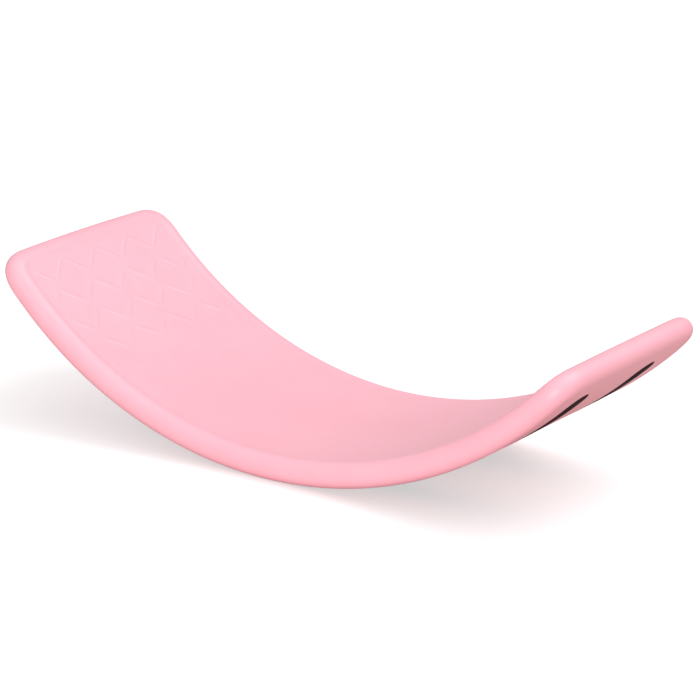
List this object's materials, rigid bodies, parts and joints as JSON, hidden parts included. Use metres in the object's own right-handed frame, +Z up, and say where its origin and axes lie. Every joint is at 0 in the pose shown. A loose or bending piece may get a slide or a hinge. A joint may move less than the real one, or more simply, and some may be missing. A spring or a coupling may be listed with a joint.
{
  "type": "curved balance board",
  "caption": "Curved plastic rocker board with a recessed deck, chevron tread at both ends, rounded rim and dark grip strips underneath.",
  "frame": {"origin": "on the floor, under the middle of the board", "axes": "+X along the board, +Y across it to the rear strip, +Z up"},
  "size_m": [0.7518, 0.305, 0.1938],
  "materials": {
    "shell_plastic": "satin moulded polyethylene",
    "strip_rubber": "matt rubber",
    "adhesive_film": "thin translucent adhesive film",
    "plug_plastic": "moulded polyethylene"
  },
  "bodies": {
    "root": {"board_shell": "shell_plastic", "grip_strip_front": "strip_rubber", "grip_strip_rear": "strip_rubber", "adhesive_film_front": "adhesive_film", "adhesive_film_rear": "adhesive_film", "blow_hole_plug": "plug_plastic"}
  },
  "joints": []
}
